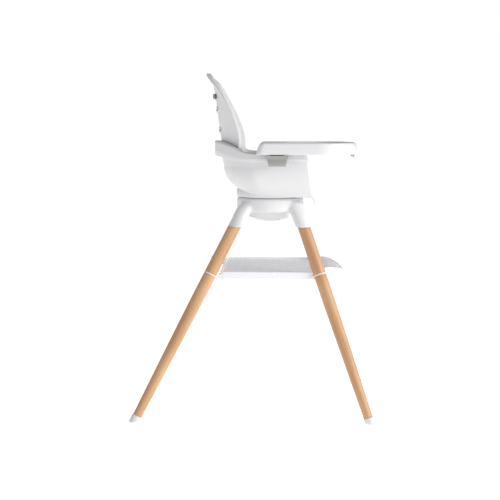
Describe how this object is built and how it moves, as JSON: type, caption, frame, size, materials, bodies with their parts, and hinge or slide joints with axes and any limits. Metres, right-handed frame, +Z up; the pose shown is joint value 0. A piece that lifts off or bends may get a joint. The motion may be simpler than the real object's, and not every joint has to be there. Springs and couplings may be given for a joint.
{
  "type": "baby high chair",
  "caption": "High chair on splayed wooden legs with a swivelling moulded seat, oval back, sliding tray with side latches, harness and clear footrest.",
  "frame": {"origin": "on the floor, under the middle of the footprint", "axes": "+Z up, +X the way the child faces, +Y to the child's left"},
  "size_m": [0.685, 0.5952, 0.9676],
  "materials": {
    "hub_white": "satin moulded white plastic",
    "seat_white": "satin moulded white plastic",
    "tray_white": "smooth glossy white plastic",
    "steel": "zinc plated",
    "spring_steel": "drawn wire",
    "bearing_plastic": "natural acetal",
    "beech": "clear lacquered beech",
    "foot_plastic": "translucent white elastomer",
    "clear_plastic": "clear moulded plastic with a faint violet cast",
    "tread": "soft translucent grey, fine ribs",
    "pad_fabric": "wipe-clean ivory upholstery",
    "webbing": "woven grey webbing",
    "buckle_grey": "moulded grey plastic",
    "button_grey": "moulded light grey plastic",
    "retainer_dark": "moulded dark grey plastic",
    "latch_grey": "moulded warm grey plastic"
  },
  "bodies": {
    "base": {"hub_body": "hub_white", "hub_base_cover": "hub_white", "hub_cover_screws": "steel", "swivel_bush": "bearing_plastic", "swivel_glide_ring": "bearing_plastic", "index_ring": "bearing_plastic", "upper_leg_front_left": "beech", "upper_leg_front_right": "beech", "upper_leg_rear_left": "beech", "upper_leg_rear_right": "beech", "lower_leg_front_left": "beech", "lower_leg_front_right": "beech", "lower_leg_rear_left": "beech", "lower_leg_rear_right": "beech", "foot_cap_front_left": "foot_plastic", "foot_cap_front_right": "foot_plastic", "foot_cap_rear_left": "foot_plastic", "foot_cap_rear_right": "foot_plastic", "leg_joint_studs": "steel", "leg_screws": "steel", "footrest_plate": "clear_plastic", "footrest_tread": "tread"},
    "seat": {"turntable": "seat_white", "turntable_screws": "steel", "spindle_washer": "steel", "spindle_screw": "steel", "lever_pin": "steel", "lever_springs": "spring_steel", "seat_bucket": "seat_white", "armrest_rim": "seat_white", "back_shell": "seat_white", "back_rim": "seat_white", "back_screws": "steel", "seat_pad": "pad_fabric", "back_pad": "pad_fabric", "crotch_post": "seat_white", "crotch_post_screws": "steel", "shoulder_strap_left": "webbing", "shoulder_strap_right": "webbing", "waist_strap_left": "webbing", "waist_strap_right": "webbing", "crotch_strap": "webbing", "buckle_body": "buckle_grey", "strap_adjusters": "buckle_grey", "strap_retainer": "retainer_dark"},
    "release_lever": {"release_lever": "latch_grey"},
    "buckle_button": {"buckle_button": "button_grey"},
    "tray": {"tray_body": "tray_white", "latch_pins": "steel", "latch_springs": "spring_steel"},
    "latch_left": {"tray_latch_left": "latch_grey"},
    "latch_right": {"tray_latch_right": "latch_grey"}
  },
  "joints": [
    {"name": "seat_swivel", "type": "hinge", "parent": "base", "child": "seat", "pos_m": [0.049, 0, 0.609], "axis": [0, 0, 1], "continuous": true},
    {"name": "release_lever_hinge", "type": "hinge", "parent": "seat", "child": "release_lever", "pos_m": [-0.04, 0, 0.6195], "axis": [0, -1, 0], "range_deg": [0, 12], "stiffness_Nm_per_rad": 0.3, "springref_deg": -5.73},
    {"name": "buckle_press", "type": "slide", "parent": "seat", "child": "buckle_button", "axis": [0, 0, -1], "range_m": [0, 0.003], "stiffness_N_per_m": 400, "springref_m": -0.002},
    {"name": "tray_slide", "type": "slide", "parent": "seat", "child": "tray", "axis": [1, 0, 0], "range_m": [0, 0.13]},
    {"name": "latch_left_hinge", "type": "hinge", "parent": "tray", "child": "latch_left", "pos_m": [0.0695, 0.1935, 0.751], "axis": [1, 0, 0], "range_deg": [0, 14], "stiffness_Nm_per_rad": 0.5, "springref_deg": -5.73},
    {"name": "latch_right_hinge", "type": "hinge", "parent": "tray", "child": "latch_right", "pos_m": [0.0695, -0.1935, 0.751], "axis": [-1, 0, 0], "range_deg": [0, 14], "stiffness_Nm_per_rad": 0.5, "springref_deg": -5.73}
  ]
}
